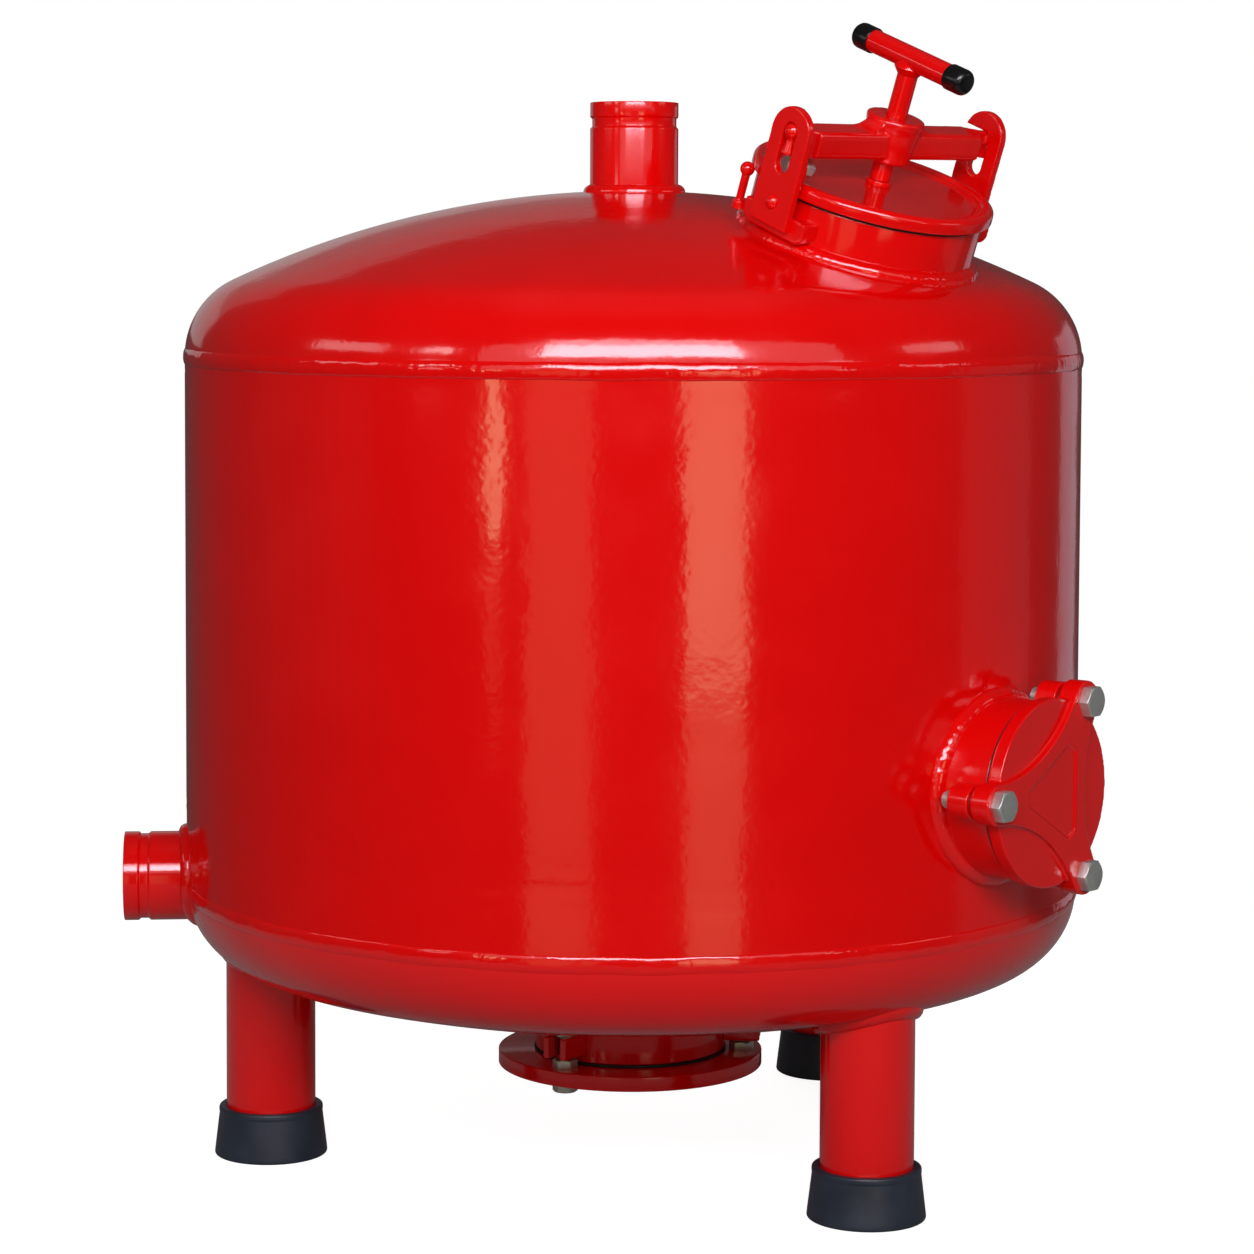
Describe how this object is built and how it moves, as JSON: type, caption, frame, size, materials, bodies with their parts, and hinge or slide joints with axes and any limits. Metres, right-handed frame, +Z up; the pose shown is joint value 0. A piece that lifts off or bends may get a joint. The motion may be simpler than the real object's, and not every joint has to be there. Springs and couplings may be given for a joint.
{
  "type": "media filter vessel",
  "caption": "Red sand-and-gravel filter vessel on three legs in rubber boots, with a yoke-clamped fill lid, bolted side and bottom ports and grooved pipe ends.",
  "frame": {"origin": "where the tank's axis meets the floor", "axes": "+Z up along the tank's axis and the inlet nozzle, -Y towards the front, -X roughly along the outlet nozzle"},
  "size_m": [0.9659, 0.9042, 1.1238],
  "materials": {
    "red_gloss_paint": "glossy red coat over welded steel",
    "red_cast_iron": "glossy red coat over sand-cast iron",
    "black_rubber": "matte moulded rubber",
    "black_plastic": "matte moulded plastic",
    "zinc_steel": "zinc-plated steel"
  },
  "bodies": {
    "vessel": {"tank_shell": "red_gloss_paint", "top_head": "red_gloss_paint", "bottom_head": "red_gloss_paint", "top_seam_weld": "red_gloss_paint", "bottom_seam_weld": "red_gloss_paint", "inlet_nozzle": "red_gloss_paint", "inlet_weld": "red_gloss_paint", "outlet_nozzle": "red_gloss_paint", "outlet_weld": "red_gloss_paint", "fill_neck": "red_gloss_paint", "fill_weld": "red_gloss_paint", "service_neck": "red_gloss_paint", "service_weld": "red_gloss_paint", "service_lugs": "red_gloss_paint", "service_gasket": "black_rubber", "service_cover": "red_cast_iron", "service_bolts": "zinc_steel", "drain_neck": "red_gloss_paint", "drain_weld": "red_gloss_paint", "drain_lugs": "red_gloss_paint", "drain_gasket": "black_rubber", "drain_cover": "red_gloss_paint", "drain_bolts": "zinc_steel", "drain_nuts": "zinc_steel", "leg_front": "red_gloss_paint", "leg_left": "red_gloss_paint", "leg_rear": "red_gloss_paint", "leg_weld_front": "red_gloss_paint", "leg_weld_left": "red_gloss_paint", "leg_weld_rear": "red_gloss_paint", "boot_front": "black_rubber", "boot_left": "black_rubber", "boot_rear": "black_rubber", "ear_base_left": "red_gloss_paint", "ear_base_right": "red_gloss_paint", "ear_left": "red_gloss_paint", "ear_right": "red_gloss_paint", "ear_bolts": "red_gloss_paint", "fill_gasket": "black_rubber", "tether_post": "red_gloss_paint", "underdrain_plate": "red_gloss_paint", "underdrain_ledge": "red_gloss_paint", "strainers": "black_plastic", "inlet_diffuser": "red_gloss_paint", "ear_nuts": "zinc_steel"},
    "yoke": {"yoke_bar": "red_gloss_paint"},
    "pad": {"thrust_pad": "red_gloss_paint"},
    "screw": {"clamp_screw": "red_gloss_paint", "handle_tube": "red_gloss_paint", "handle_weld": "red_gloss_paint", "handle_cap_front": "black_plastic", "handle_cap_rear": "black_plastic"},
    "lid": {"fill_lid": "red_gloss_paint", "lid_bolt": "zinc_steel", "lid_nut": "zinc_steel"}
  },
  "joints": [
    {"name": "yoke_swing", "type": "hinge", "parent": "vessel", "child": "yoke", "pos_m": [0.13783, -0.31739, 1.01641], "axis": [0.2235, -0.276, 0.9348], "range_deg": [0, 30]},
    {"name": "screw_travel", "type": "slide", "parent": "yoke", "child": "pad", "axis": [0.2235, -0.276, 0.9348], "range_m": [0, 0.004]},
    {"name": "screw_turn", "type": "hinge", "parent": "pad", "child": "screw", "pos_m": [0.23644, -0.23113, 1.01616], "axis": [0.2235, -0.276, 0.9348], "range_deg": [0, 576.5]},
    {"name": "lid_lift", "type": "slide", "parent": "vessel", "child": "lid", "axis": [0.2235, -0.276, 0.9348], "range_m": [0, 0.004]}
  ],
  "couplings": [
    {"joint": "screw_turn", "follows": "screw_travel", "rad_per_m": 2513.3},
    {"joint": "lid_lift", "follows": "screw_travel", "ratio": 1}
  ]
}
